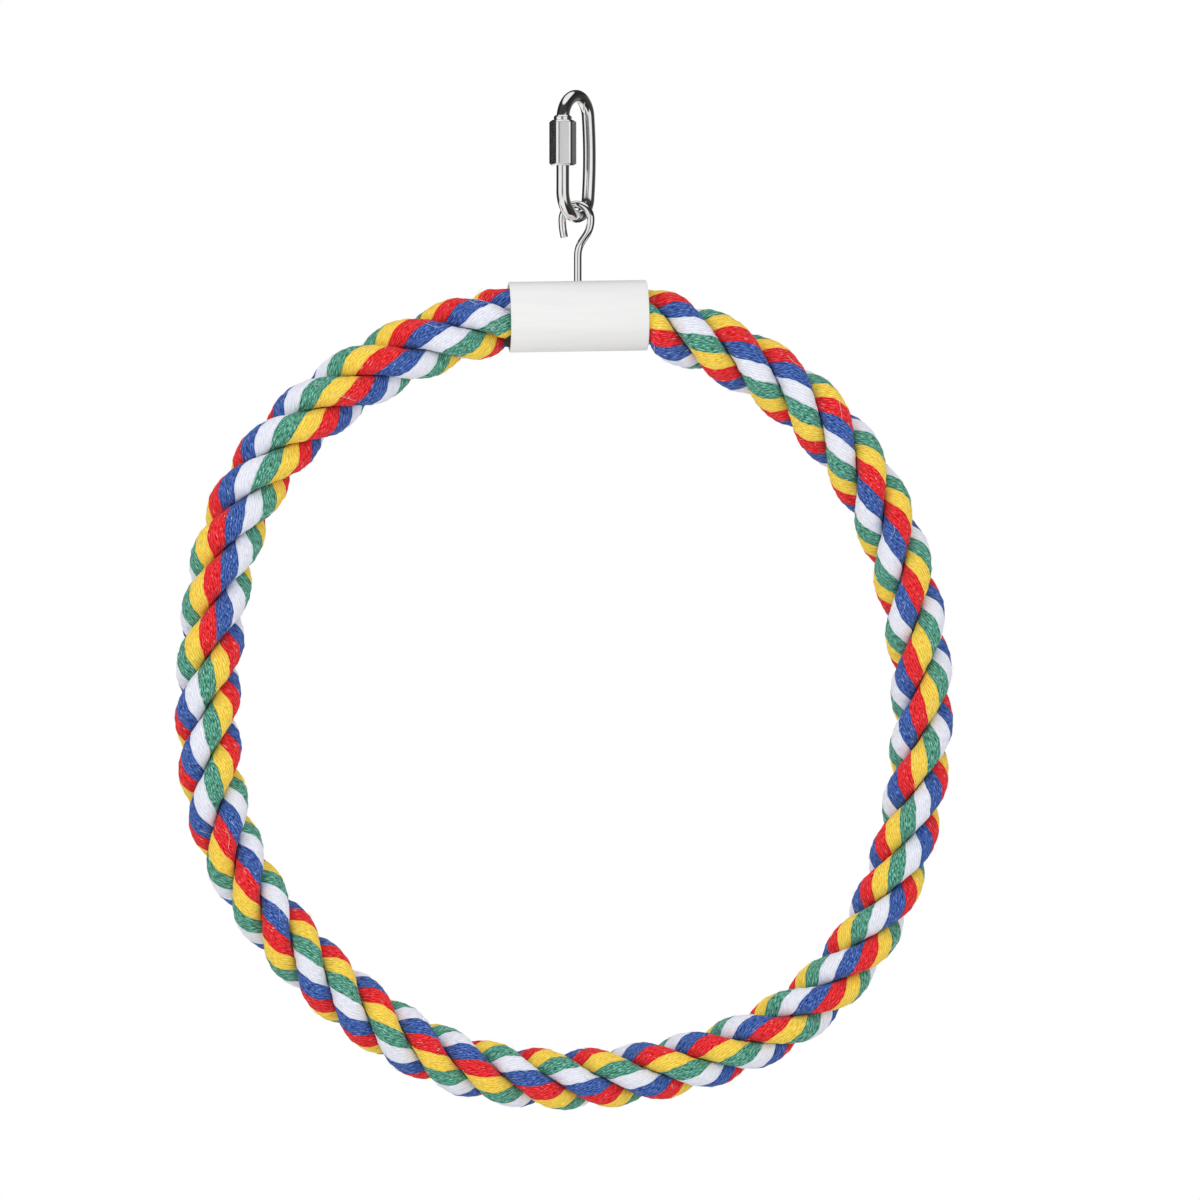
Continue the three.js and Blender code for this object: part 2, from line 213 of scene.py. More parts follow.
world = bpy.data.worlds.new("studio")
bpy.context.scene.world = world
world.use_nodes = True
tree = world.node_tree
tree.nodes.clear()
direction = add_node(tree, "ShaderNodeTexCoord").outputs["Generated"]
towards_lens = map_range(tree, facing(tree, direction, to_camera), -1, 1)
left, right = (colour_ramp(tree, towards_lens, stops) for stops in (LEFT_WALL, RIGHT_WALL))
rightwards = map_range(tree, facing(tree, direction, picture_right), -WALL_SEAM, WALL_SEAM)
walls = mix_colours(tree, rightwards, left, right)
height = map_range(tree, facing(tree, direction, upwards), -1, 1)
cut_walls = mix_colours(tree, 1, walls, colour_ramp(tree, height, WALL_HEIGHTS), "MULTIPLY")
room = mix_colours(tree, 1, cut_walls, colour_ramp(tree, height, CEILING), "ADD")
rays = add_node(tree, "ShaderNodeLightPath").outputs
straight = calculate(tree, "MAXIMUM", rays["Is Camera Ray"], rays["Is Transmission Ray"])
lit = mix_shaders(tree, rays["Is Glossy Ray"], background(tree, WHITE, SOFT_LIGHT), background(tree, room))
seen = mix_shaders(tree, straight, lit, background(tree, WHITE))
add_node(tree, "ShaderNodeOutputWorld", {"Surface": seen})
print("world has", len(tree.nodes), "nodes")

# %% [markdown]
# ## Lamps
#
# Two large soft lamps stand in front of the ring, the stronger one high on the left. They are set so that a
# surface that faces the camera gets about as much light as it needs to show its own colour.

# %% Hang two soft lamps
LAMPS = (("key_lamp", (-0.45, 1.0, 0.45), 3.4, 1.0), ("fill_lamp", (0.6, 1.0, -0.1), 2.1, 1.0))
RING_MIDDLE = Vector((0, 0, -0.18))

for name, (aside, forward, above), power, side in LAMPS:
    lamp_data = bpy.data.lights.new(name, "AREA")
    lamp_data.energy = power
    lamp_data.size = side
    lamp = bpy.data.objects.new(name, lamp_data)
    lamp.location = RING_MIDDLE + picture_right * aside + to_camera * forward + upwards * above
    lamp.rotation_mode = "QUATERNION"
    lamp.rotation_quaternion = (RING_MIDDLE - lamp.location).to_track_quat("-Z", "Y")
    lamp.visible_glossy = False
    bpy.context.scene.collection.objects.link(lamp)
    print(name, "gives", power, "W")

# %% [markdown]
# ## Floor
#
# The ring hangs, so the floor is well below it and only catches a faint shadow. It is a pale disc that
# is an ordinary matt surface under the ring and fades to plain white further out, where no edge may show.
# Polished steel looks down as well, so it sees a wide strip of bright paper there, under the ring and to
# its left, and darkness beside it. A metre out the paper ends and the room shows again.

# %% Lay the floor
FLOOR_DROP = 90 * MM
FLOOR_RADIUS = 4.0
FLOOR_SIDES = 96
FLOOR_COLOUR = (0.92, 0.92, 0.92, 1)
FADE_FROM = 0.22
FADE_TO = 0.6
PAPER_X = -0.45
PAPER_HALF = 0.5
PAPER_EDGE = 0.06
BESIDE_PAPER = 0.03
PAPER_REACH = (0.6, 1.0)


def link_piece(name, mesh):
    piece = bpy.data.objects.new(name, mesh)
    bpy.context.scene.collection.objects.link(piece)
    return piece


floor_finish = bpy.data.materials.new("floor_white")
floor_finish.use_nodes = True
tree = floor_finish.node_tree
tree.nodes.clear()
place = add_node(tree, "ShaderNodeTexCoord").outputs["Object"]
flatten = add_node(tree, "ShaderNodeVectorMath", {0: place, 1: (1, 1, 0)}, operation="MULTIPLY")
flat = flatten.outputs["Vector"]
from_middle = add_node(tree, "ShaderNodeVectorMath", {0: flat}, operation="LENGTH").outputs["Value"]
rays = add_node(tree, "ShaderNodeLightPath").outputs
looked_at = calculate(tree, "MAXIMUM", rays["Is Camera Ray"], rays["Is Transmission Ray"])
fade = map_range(tree, from_middle, FADE_FROM, FADE_TO, easing="SMOOTHSTEP")
matt = add_node(tree, "ShaderNodeBsdfDiffuse", {"Color": FLOOR_COLOUR}).outputs["BSDF"]
glow = add_node(tree, "ShaderNodeEmission").outputs["Emission"]
faded = mix_shaders(tree, calculate(tree, "MULTIPLY", fade, looked_at), matt, glow)

sideways = add_node(tree, "ShaderNodeSeparateXYZ", {"Vector": flat}).outputs["X"]
off_line = calculate(tree, "ABSOLUTE", calculate(tree, "SUBTRACT", sideways, PAPER_X))
paper_ends = (PAPER_HALF - PAPER_EDGE, PAPER_HALF + PAPER_EDGE)
paper = map_range(tree, off_line, *paper_ends, 1, BESIDE_PAPER, "SMOOTHSTEP")
paper_glow = add_node(tree, "ShaderNodeEmission", {"Strength": paper}).outputs["Emission"]
past_paper = map_range(tree, from_middle, *PAPER_REACH, easing="SMOOTHSTEP")
open_room = add_node(tree, "ShaderNodeBsdfTransparent").outputs["BSDF"]
reflected = mix_shaders(tree, past_paper, paper_glow, open_room)
floor_mix = mix_shaders(tree, rays["Is Glossy Ray"], faded, reflected)
add_node(tree, "ShaderNodeOutputMaterial", {"Surface": floor_mix})

bm = bmesh.new()
floor_place = Matrix.Translation((0, 0, cad_box[0].z - FLOOR_DROP))
bmesh.ops.create_circle(bm, cap_ends=True, segments=FLOOR_SIDES, radius=FLOOR_RADIUS, matrix=floor_place)
floor_mesh = bpy.data.meshes.new("floor")
bm.to_mesh(floor_mesh)
bm.free()
floor_mesh.materials.append(floor_finish)
floor = link_piece("floor", floor_mesh)
print("floor lies", round(FLOOR_DROP / MM), "mm below the ring")

# %% [markdown]
# ## Cotton
#
# The rope is dyed cotton in five colours. Close up, cotton is never one flat colour: fine fibres run along
# the yarn, a little lighter and darker than each other, the yarn is plied, with painted shade in the lines
# between its fine yarns, and bits of white lint cling to it. The yarn has its own UV map, u along it and v
# across it, so the fibres follow every twist. Where two strands press on each other, shade is painted into
# the crease, and the mesh carries how near each point is to that crease as an attribute, crease_shade.

# %% Choose the cotton's colours and scales
DYES = {
    "green": (77, 150, 127),
    "yellow": (255, 212, 82),
    "red": (241, 34, 40),
    "blue": (57, 92, 167),
    "white": (233, 235, 247),
}
# Painted shade in the lines between fine yarns, per dye.
LINE_SHADES = {"green": 0.4, "yellow": 0.62, "red": 0.48, "blue": 0.4, "white": 0.74}
GRAIN = {"green": 84, "yellow": 33, "red": 66, "blue": 68, "white": 15}
LINT = (235, 237, 242)
LINT_SHARES = {"green": 0.9, "yellow": 0.2, "red": 0.9, "blue": 0.9, "white": 0.0}
ROPE_MM = 715
FINE_YARNS = 7
YARN_PARTS = 3
INNER_CORNERS = ((0.97, 0.7), (0.7, 0.3), (0.3, 0.3), (0.03, 0.7))
FIBRE_MM = 2.6
FIBRES_ACROSS = 40
FUZZ_MM = 1.35
FUZZ_ACROSS = 27
LINT_MM = 2.2
LINT_ACROSS = 22
LINT_EDGES = (0.715, 0.755)
GRAIN_MIDDLE = 0.5
GRAIN_STEP = 0.18
GROOVE_HALF = 0.16
GROOVED_FIBRES = (0.36, 0.56)
DARKEST = 6
FUZZ_BUMP = (0.35, 0.2 * MM)
LINE_BUMP = (0.7, 0.25 * MM)
FIBRE_BUMP = (0.5, 0.15 * MM)
COTTON_GLOSS = {
    "Roughness": 0.95, "Specular IOR Level": 0.04, "Sheen Weight": 0.06, "Sheen Roughness": 0.6,
}
# Painted shade in the creases between strands, read from the crease_shade attribute.
CREASE_SHADES = ((0.0, 1.0), (0.5, 0.96), (0.8, 0.7), (1.0, 0.2))
WANDER_MM = 9
WANDER_YARNS = 0.9
WANDERS_ACROSS = 5
print("dyes:", ", ".join(DYES))

# %% Dye the cotton


def from_screen(colour):
    shares = [value / 255 for value in colour]
    return tuple(v / 12.92 if v <= 0.04045 else ((v + 0.055) / 1.055) ** 2.4 for v in shares)


def shade(colour, factor):
    return tuple(min(value * factor, 1) for value in colour)


def start_finish(name):
    finish = bpy.data.materials.new(name)
    finish.use_nodes = True
    return finish, finish.node_tree, finish.node_tree.nodes["Principled BSDF"]


def stretched_noise(tree, place, scale, detail, rough=0.5):
    stretched = add_node(tree, "ShaderNodeMapping", {"Vector": place, "Scale": scale}).outputs["Vector"]
    inputs = {"Vector": stretched, "Scale": 1, "Detail": detail, "Roughness": rough}
    return add_node(tree, "ShaderNodeTexNoise", inputs).outputs["Fac"]


def add_bump(tree, height, strength, depth, under=None):
    inputs = {"Height": height, "Strength": strength, "Distance": depth}
    if under is not None:
        inputs["Normal"] = under
    return add_node(tree, "ShaderNodeBump", inputs).outputs["Normal"]


def yarn_lines(tree, yarn):
    across = add_node(tree, "ShaderNodeSeparateXYZ", {"Vector": yarn}).outputs["Y"]
    outer_share = FINE_YARNS * YARN_PARTS / (FINE_YARNS * YARN_PARTS + 1 + len(INNER_CORNERS))
    count = calculate(tree, "MULTIPLY", across, FINE_YARNS / outer_share)
    wander = stretched_noise(tree, yarn, (ROPE_MM / WANDER_MM, WANDERS_ACROSS, 1), detail=2)
    moved = calculate(tree, "MULTIPLY_ADD", wander, WANDER_YARNS, count)
    return calculate(tree, "PINGPONG", moved, 0.5)


def lighten(screen_colour, step):
    return from_screen([min(max(value + step, DARKEST), 255) for value in screen_colour])


def dye_cotton(name, screen_colour):
    finish, tree, cloth = start_finish("cotton_" + name)
    yarn = add_node(tree, "ShaderNodeUVMap", uv_map="yarn").outputs["UV"]
    fibres = stretched_noise(tree, yarn, (ROPE_MM / FIBRE_MM, FIBRES_ACROSS, 1), detail=4, rough=0.65)
    fuzz = stretched_noise(tree, yarn, (ROPE_MM / FUZZ_MM, FUZZ_ACROSS, 1), detail=2, rough=0.6)
    flecks = stretched_noise(tree, yarn, (ROPE_MM / LINT_MM, LINT_ACROSS, 1), detail=1)
    lines = yarn_lines(tree, yarn)
    # crease_shade is near 1 where strands meet; CREASE_SHADES turns it into painted shade there.
    crease_shade = add_node(tree, "ShaderNodeAttribute", attribute_name="crease_shade").outputs["Fac"]

    steps = [(GRAIN_MIDDLE + i * GRAIN_STEP, lighten(screen_colour, i * GRAIN[name])) for i in (-1, 0, 1)]
    tints = colour_ramp(tree, fuzz, steps)
    # Painted shade: the lines between fine yarns are darkened down to LINE_SHADES, where the fibres allow.
    darkest = LINE_SHADES[name]
    groove_shade_stops = ((0.0, darkest), (GROOVE_HALF, (1 + darkest) / 2), (2 * GROOVE_HALF, 1.0))
    groove_share = map_range(tree, fibres, *GROOVED_FIBRES)
    groove_shaded = mix_colours(tree, groove_share, tints, colour_ramp(tree, lines, groove_shade_stops), "MULTIPLY")
    lint_share = colour_ramp(tree, flecks, tuple(zip(LINT_EDGES, (0.0, LINT_SHARES[name]))))
    with_lint = mix_colours(tree, lint_share, groove_shaded, (*from_screen(LINT), 1))
    # Painted shade in the creases between strands, multiplied into the colour.
    crease_shaded = mix_colours(tree, 1, with_lint, colour_ramp(tree, crease_shade, CREASE_SHADES), "MULTIPLY")

    bumps = None
    for pattern, bump in ((fuzz, FUZZ_BUMP), (lines, LINE_BUMP), (fibres, FIBRE_BUMP)):
        bumps = add_bump(tree, pattern, *bump, bumps)
    feed(tree, cloth, {"Base Color": crease_shaded, "Normal": bumps, **COTTON_GLOSS})
    return finish


cottons = {name: dye_cotton(name, colour) for name, colour in DYES.items()}
print("dyed", len(cottons), "kinds of yarn")

# %% [markdown]
# ## Metals, plastic, tape and glue
#
# The link is polished, with fine rubbing marks. The nut's flats come from hexagon bar and are frosted, with
# bright edges. The hook is drawn wire, so its marks run along it. The sleeve is a cut length of white tube:
# satin, with faint drawing lines along it. Tape, glue and the zinc-plated bits are inside, but have finishes
# too, because the ring can be taken apart.

# %% Mix the other finishes
MARK_SHADE = 0.9
MARK_BUMP = 0.03
PLASTIC_GLOSS = 0.4
GRAIN_SHADE = 0.96


def rubbed_steel(name, colour, roughness, mark_scale, mark_depth):
    finish, tree, metal = start_finish(name)
    place = add_node(tree, "ShaderNodeTexCoord").outputs["Object"]
    marks = stretched_noise(tree, place, mark_scale, detail=5, rough=0.65)
    feed(tree, metal, {
        "Metallic": 1,
        "Base Color": colour_ramp(tree, marks, ((0.3, shade(colour, MARK_SHADE)), (0.65, colour))),
        "Roughness": map_range(tree, marks, 0.3, 0.7, *roughness),
        "Normal": add_bump(tree, marks, MARK_BUMP, mark_depth),
    })
    return finish


def grained_plastic(name, colour, roughness, grain_scale, grain_strength, grain_depth):
    finish, tree, plastic = start_finish(name)
    place = add_node(tree, "ShaderNodeTexCoord").outputs["Object"]
    grain = stretched_noise(tree, place, grain_scale, detail=4, rough=0.6)
    feed(tree, plastic, {
        "Specular IOR Level": PLASTIC_GLOSS,
        "Base Color": colour_ramp(tree, grain, ((0.25, shade(colour, GRAIN_SHADE)), (0.6, colour))),
        "Roughness": map_range(tree, grain, 0, 1, *roughness),
        "Normal": add_bump(tree, grain, grain_strength, grain_depth),
    })
    return finish


polished_rod = rubbed_steel("polished_rod", (0.86, 0.855, 0.85), (0.04, 0.08), (900, 900, 300), 0.01 * MM)
frosted_nut = rubbed_steel("frosted_nut", (0.70, 0.70, 0.70), (0.20, 0.30), (1800, 1800, 500), 0.004 * MM)
drawn_wire = rubbed_steel("drawn_wire", (0.86, 0.86, 0.86), (0.04, 0.08), (1500, 1500, 120), 0.01 * MM)
zinc = rubbed_steel("dull_zinc", (0.50, 0.52, 0.53), (0.38, 0.55), (600, 600, 600), 0.03 * MM)
white_tube = grained_plastic("white_tube", (0.80, 0.80, 0.795), (0.34, 0.5), (40, 500, 500), 0.12, 0.05 * MM)
black_tape = grained_plastic("black_tape", (0.006, 0.006, 0.007), (0.45, 0.7), (900, 900, 900), 0.4, 0.1 * MM)
set_glue = grained_plastic("set_glue", (0.62, 0.57, 0.42), (0.3, 0.45), (300, 300, 300), 0.3, 0.2 * MM)
print("finishes:", len(bpy.data.materials))

# %% [markdown]
# ## The line that the rope follows
#
# The ring isn't a true circle: it was bent by hand round a wire core. Its middle line is a circle with a few
# gentle swells, straight where it passes through the sleeve. These are the numbers that the solids were made
# from. The sleeve sits about one degree out of level, so the straight stretch tilts with it.

# %% Work out the ring's middle line
RING_RADIUS = 115.3 * MM
RING_SHIFT = -3.1 * MM
RING_LIFT = 0.75 * MM
RING_BENDS = ((2, 3.85, -79), (3, 0.96, -56), (4, 1.35, -44), (6, 0.6, 19), (7, 0.5, -4))
TAPE_INSET = 7 * MM
EASE_LENGTH = 19 * MM
SLEEVE_TILT = math.radians(-1.0)
LINE_STEPS = 12000

sleeve_low, sleeve_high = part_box("joining_sleeve")
sleeve_middle = (sleeve_low + sleeve_high) / 2
sleeve_length = sleeve_high.x - sleeve_low.x
sleeve_radius = (sleeve_high.z - sleeve_low.z) / 2
mouth = sleeve_length / 2
tape_end = mouth - TAPE_INSET


def smooth_step(value, low, high):
    share = np.clip((value - low) / (high - low), 0, 1)
    return share * share * (3 - 2 * share)


def swollen_radius(angle):
    radius = np.full_like(angle, RING_RADIUS)
    for lobes, swell, at in RING_BENDS:
        radius += swell * MM * np.cos(lobes * (angle - math.radians(at)))
    return radius


top_radius = float(swollen_radius(np.array([math.pi / 2]))[0])
line_angle = math.acos(-RING_SHIFT / top_radius) - np.linspace(0, 2 * math.pi, LINE_STEPS + 1)
line_radius = swollen_radius(line_angle)
line_x = RING_SHIFT + line_radius * np.cos(line_angle)
line_z = line_radius * np.sin(line_angle) - top_radius + RING_LIFT
straightness = 1 - smooth_step(np.abs(line_x), tape_end, tape_end + EASE_LENGTH)
straightness[line_z < -top_radius] = 0
line_z = line_z * (1 - straightness) - np.tan(SLEEVE_TILT) * line_x * straightness
line_steps = np.hypot(np.diff(line_x), np.diff(line_z))
line_distance = np.concatenate(([0], np.cumsum(line_steps)))
ring_length = float(line_distance[-1])
slope_x = np.gradient(line_x, line_distance)
slope_z = np.gradient(line_z, line_distance)


def on_ring_line(distance):
    x, z = (np.interp(distance, line_distance, values) for values in (line_x, line_z))
    along_x, along_z = (np.interp(distance, line_distance, values) for values in (slope_x, slope_z))
    length = np.hypot(along_x, along_z)
    return x, z, along_x / length, along_z / length


print("the rope's middle is", round(ring_length / MM, 1), "mm round")

# %% [markdown]
# ## Strands and their yarn
#
# Three strands are laid round each other, and each strand is five bundles of yarn, one of each colour,
# twisted the other way. The lay isn't even all round, so its twist has one slow sway and the yarn's has two,
# and the rope is loosest on the upper left. Where strands meet they press each other flat, so a strand's
# section is an oval kept inside its own third of the rope. Seen end on, a bundle is a wedge of that oval
# with fine ridges of yarn on its outer side.

# %% Choose the twists and a bundle's section
LAY_LENGTH = 50 * MM
LAY_START = math.radians(53.3)
LAY_DRIFT = math.radians(61.6)
LAY_DRIFT_START = math.radians(71.3)
LOOSE_ENDS = 0.054
LOOSEST_AT = math.radians(27)
SWELL_LENGTH = 6 * MM
STRAND_COUNT = 3
STRAND_CENTRE = 5.4 * MM
STRAND_DEEP = 4.5 * MM
STRAND_WIDE = 5.25 * MM
STRAND_PLAY = 0.02 * MM
CORE_ROOM = 1.3 * MM
SQUEEZED = 0.914
AT_MOUTH = 0.912
YARN_TWISTS = ((63.6, -23.816, 39.9, -68.2), (131.1, -23.429, 23.1, -16.4), (158.3, -22.796, 68.5, -25.5))
YARN_SWAY = math.radians(10.1)
YARN_SWAY_START = math.radians(-17.6)
RIDGE = 0.09 * MM
CREASE = 0.2 * MM
CREASE_SLOPE = 0.3
CREASE_REACH = 0.7 * MM
WOBBLE_WAVES = (11 * MM, 5.3 * MM, 2.9 * MM)
EDGE_WOBBLE = 0.011
SWELL_WOBBLE = 0.07 * MM
WOBBLE_SEED = 7

outer_corners = FINE_YARNS * YARN_PARTS
corner_share = [i / outer_corners for i in range(outer_corners + 1)]
corner_share += [share for share, depth in INNER_CORNERS]
corner_depth = [1.0] * (outer_corners + 1) + [depth for share, depth in INNER_CORNERS]
corner_groove = [RIDGE if i % YARN_PARTS == 0 else 0 for i in range(outer_corners + 1)]
corner_groove += [0] * len(INNER_CORNERS)
for i, part in ((0, 1), (1, CREASE_SLOPE), (outer_corners - 1, CREASE_SLOPE), (outer_corners, 1)):
    corner_groove[i] += CREASE * part
corner_share, corner_depth, corner_groove = map(np.array, (corner_share, corner_depth, corner_groove))
section_sides = len(corner_share)
print("a bundle's section has", section_sides, "corners")

# %% Say where a point of a bundle lies


def lay_turn(distance, strand):
    u = distance / ring_length
    turns = ring_length / LAY_LENGTH * u + strand / STRAND_COUNT
    return LAY_START + 2 * math.pi * turns + LAY_DRIFT * np.cos(2 * math.pi * u + LAY_DRIFT_START)


def yarn_turn(distance, strand):
    u = distance / ring_length
    start, turns, sway, phase = YARN_TWISTS[strand]
    swayed = math.radians(sway) * np.cos(2 * math.pi * u + math.radians(phase))
    swayed += YARN_SWAY * np.cos(4 * math.pi * u + YARN_SWAY_START)
    return math.radians(start) + 2 * math.pi * turns * u + swayed


wobble_starts = np.random.default_rng(WOBBLE_SEED).uniform(
    0, 2 * math.pi, (STRAND_COUNT, len(DYES) + 1, len(WOBBLE_WAVES))
)


def wobble(distance, strand, line):
    starts = wobble_starts[strand, line]
    waves = [np.sin(2 * math.pi * distance / wave + starts[..., i]) for i, wave in enumerate(WOBBLE_WAVES)]
    return sum(waves)


def rope_fullness(distance):
    from_sleeve = np.minimum(distance, ring_length - distance)
    in_sleeve = smooth_step(from_sleeve, tape_end, mouth)
    squeezed = SQUEEZED + (AT_MOUTH - SQUEEZED) * in_sleeve
    outside = smooth_step(from_sleeve, mouth, mouth + SWELL_LENGTH)
    laid = 1 + LOOSE_ENDS * np.cos(2 * math.pi * distance / ring_length + LOOSEST_AT)
    return squeezed + (laid - squeezed) * outside


def place_in_rope(distance, out, front):
    x, z, along_x, along_z = on_ring_line(distance)
    places = np.stack((x - along_z * out, -front, z + along_x * out), axis=-1)
    return places + np.array(sleeve_middle)


def strand_point(distance, strand, around, depth, groove):
    size = rope_fullness(distance)
    lay = lay_turn(distance, strand)
    lean = around - lay
    reach = 1 / np.hypot(np.cos(lean) / STRAND_DEEP, np.sin(lean) / STRAND_WIDE)
    reach = (reach * depth - groove + SWELL_WOBBLE * wobble(distance, strand, len(DYES)) * depth) * size
    out = STRAND_CENTRE * size * np.cos(lay) + reach * np.cos(around)
    front = STRAND_CENTRE * size * np.sin(lay) + reach * np.sin(around)
    # crease_shade rises to 1 at the wall to the next strand; the cotton paints shade into the crease there.
    crease_shade = 0
    for side in (1, -1):
        wall = lay + side * math.pi / STRAND_COUNT
        past = side * (front * np.cos(wall) - out * np.sin(wall)) + STRAND_PLAY
        crease_shade = np.maximum(crease_shade, np.minimum(1 + past / CREASE_REACH, 1))
        over = np.maximum(past, 0)
        out = out + side * over * np.sin(wall)
        front = front - side * over * np.cos(wall)
    off_core = np.maximum(CORE_ROOM / np.maximum(np.hypot(out, front), 1e-6), 1)
    return place_in_rope(distance, out * off_core, front * off_core), crease_shade


print("a strand's centre is", round(STRAND_CENTRE / MM, 1), "mm from the rope's middle")

# %% Wind the fifteen bundles
ROPE_END = 6 * MM
YARN_STEPS = 840


def settle(bm, name, finish, body, replaced, sharp_angle=None):
    mesh = bpy.data.meshes.new(name)
    bm.to_mesh(mesh)
    bm.free()
    mesh.materials.append(finish)
    mesh.shade_smooth()
    if sharp_angle:
        mesh.set_sharp_from_angle(angle=math.radians(sharp_angle))
    piece = link_piece(name, mesh)
    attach(piece, body)
    if replaced:
        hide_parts(*replaced)
    return piece


def wind_bundle(strand, bundle):
    bm = bmesh.new()
    bm.loops.layers.uv.new("yarn")
    crease_shade_layer = bm.verts.layers.float.new("crease_shade")
    bmesh.ops.create_grid(bm, x_segments=YARN_STEPS, y_segments=section_sides, size=0.5, calc_uvs=True)
    flat = np.array([vert.co[:] for vert in bm.verts])
    distance = ROPE_END + (flat[:, 0] + 0.5) * (ring_length - 2 * ROPE_END)
    corner = np.rint((flat[:, 1] + 0.5) * section_sides).astype(int) % section_sides
    share = corner_share[corner]
    around = yarn_turn(distance, strand) + (bundle + share) * 2 * math.pi / len(DYES)
    around += EDGE_WOBBLE * (1 - share) * wobble(distance, strand, bundle)
    around += EDGE_WOBBLE * share * wobble(distance, strand, (bundle + 1) % len(DYES))
    places, crease_shade = strand_point(distance, strand, around, corner_depth[corner], corner_groove[corner])
    for vert, place, amount in zip(bm.verts, places, crease_shade):
        vert.co = place
        vert[crease_shade_layer] = amount
    bmesh.ops.remove_doubles(bm, verts=bm.verts, dist=1e-9)
    ends = [edge for edge in bm.edges if edge.is_boundary]
    bmesh.ops.holes_fill(bm, edges=ends, sides=0)
    bmesh.ops.recalc_face_normals(bm, faces=bm.faces)
    return bm


for strand in range(STRAND_COUNT):
    for bundle, colour in enumerate(DYES):
        node = f"rope_strand_{strand + 1}"
        name = f"strand_{strand + 1}_{colour}_yarn"
        yarn = settle(wind_bundle(strand, bundle), name, cottons[colour], "ring", [node])
    print("strand", strand + 1, "has", len(DYES), "bundles of", len(yarn.data.polygons), "faces")

# %% [markdown]
# ## Loose fibres
#
# Cotton rope is never clean-cut. Short hairs of its own colour stand off every bundle, and some longer
# white threads cling to it. By the sleeve's mouths, where rope frays, a few threads stand off further. One
# hair is a thin cone with a few bends. It is copied by doubling, and then every copy is laid on the rope by
# the same rule that placed the yarn, lifted a little off it. The draws are seeded, so each run gives the same
# rope.

# %% Scatter the fibres
HAIR_RADIUS = 0.035 * MM
THREAD_RADIUS = 0.05 * MM
HAIR_SIDES = 4
HAIR_CUTS = 5
HAIR_DOUBLINGS = 9
THREAD_DOUBLINGS = 6
LEFT_FRAY_DOUBLINGS = 4
RIGHT_FRAY_DOUBLINGS = 2
HAIR_SEED = 20
HAIR_LENGTH = (0.8 * MM, 2.2 * MM)
HAIR_LIFT = (0.1 * MM, 0.5 * MM)
HAIR_PEAK = 0.75
HAIR_FILL = 0.8
HAIR_TAPER = 0.5
HAIR_SLANT = 0.5
HAIR_BOW = 0.25
HAIR_GAP = 0.03 * MM
HAIR_STEP = 0.05
THREAD_SPREAD = 2
THREAD_LENGTH = (2 * MM, 7 * MM)
THREAD_LIFT = (0.05 * MM, 0.4 * MM)
SOME_WAY = (0.36, 0.48, 0.8)
FRAY_LIFT = (0.3 * MM, 0.9 * MM)
FRAY_CURL = 2.5
LEFT_FRAY_LENGTH = (3 * MM, 6 * MM)
RIGHT_FRAY_LENGTH = (2 * MM, 4 * MM)


def copy_hairs(radius, doublings):
    bm = bmesh.new()
    lying = Matrix.Translation((0.5, 0, 0)) @ Matrix.Rotation(math.pi / 2, 4, "Y")
    bmesh.ops.create_cone(
        bm, cap_ends=True, segments=HAIR_SIDES, radius1=radius, radius2=radius * HAIR_TAPER,
        depth=HAIR_FILL, matrix=lying,
    )
    long_edges = [edge for edge in bm.edges if edge.calc_length() > HAIR_FILL / 2]
    bmesh.ops.subdivide_edges(bm, edges=long_edges, cuts=HAIR_CUTS, use_grid_fill=True)
    for step in range(doublings):
        copied = bmesh.ops.duplicate(bm, geom=bm.verts[:] + bm.edges[:] + bm.faces[:])["geom"]
        verts = [item for item in copied if isinstance(item, bmesh.types.BMVert)]
        bmesh.ops.translate(bm, verts=verts, vec=(2 ** step, 0, 0))
    return bm


def lay_hairs(bm, draws, bundle, span, length, lift, curl):
    flat = np.array([vert.co[:] for vert in bm.verts])
    hair = np.floor(flat[:, 0]).astype(int)
    t = (flat[:, 0] - hair - (1 - HAIR_FILL) / 2) / HAIR_FILL
    count = hair.max() + 1
    strand = draws.integers(0, STRAND_COUNT, count)
    start = draws.uniform(*span, count)
    across = draws.uniform(0, 1, count)
    lengths = draws.uniform(*length, count)
    slant = draws.uniform(-HAIR_SLANT, HAIR_SLANT, count) * curl
    lifts = draws.uniform(*lift, count)
    bow = draws.uniform(-HAIR_BOW, HAIR_BOW, count) * curl

    def hair_point(share):
        places = np.zeros((len(hair), 3))
        for which in range(STRAND_COUNT):
            mine = strand[hair] == which
            own = hair[mine]
            s = share[mine]
            distance = start[own] + lengths[own] * np.cos(slant[own]) * s
            if bundle is None:
                around = lay_turn(start[own], which) + (across[own] - 0.5) * THREAD_SPREAD
            else:
                around = yarn_turn(start[own], which) + (bundle + across[own]) * 2 * math.pi / len(DYES)
            bend = lengths[own] * np.sin(slant[own]) * s + bow[own] * lengths[own] * np.sin(math.pi * s)
            around = around + bend / STRAND_DEEP
            height = lifts[own] * np.sin(math.pi / 2 * np.minimum(s / HAIR_PEAK, 1)) + HAIR_GAP
            places[mine] = strand_point(distance, which, around, 1, -height)[0]
        return places

    middle = hair_point(t)
    along = hair_point(np.minimum(t + HAIR_STEP, 1)) - hair_point(np.maximum(t - HAIR_STEP, 0))
    along /= np.linalg.norm(along, axis=1)[:, None]
    side = np.cross(along, SOME_WAY)
    side /= np.linalg.norm(side, axis=1)[:, None]
    other = np.cross(along, side)
    places = middle + side * flat[:, 1:2] + other * flat[:, 2:3]
    for vert, place in zip(bm.verts, places):
        vert.co = place
    bmesh.ops.recalc_face_normals(bm, faces=bm.faces)
    return bm


def scatter(name, colour, radius, doublings, *lying):
    hairs = lay_hairs(copy_hairs(radius, doublings), draws, *lying)
    settle(hairs, name, cottons[colour], "ring", ())


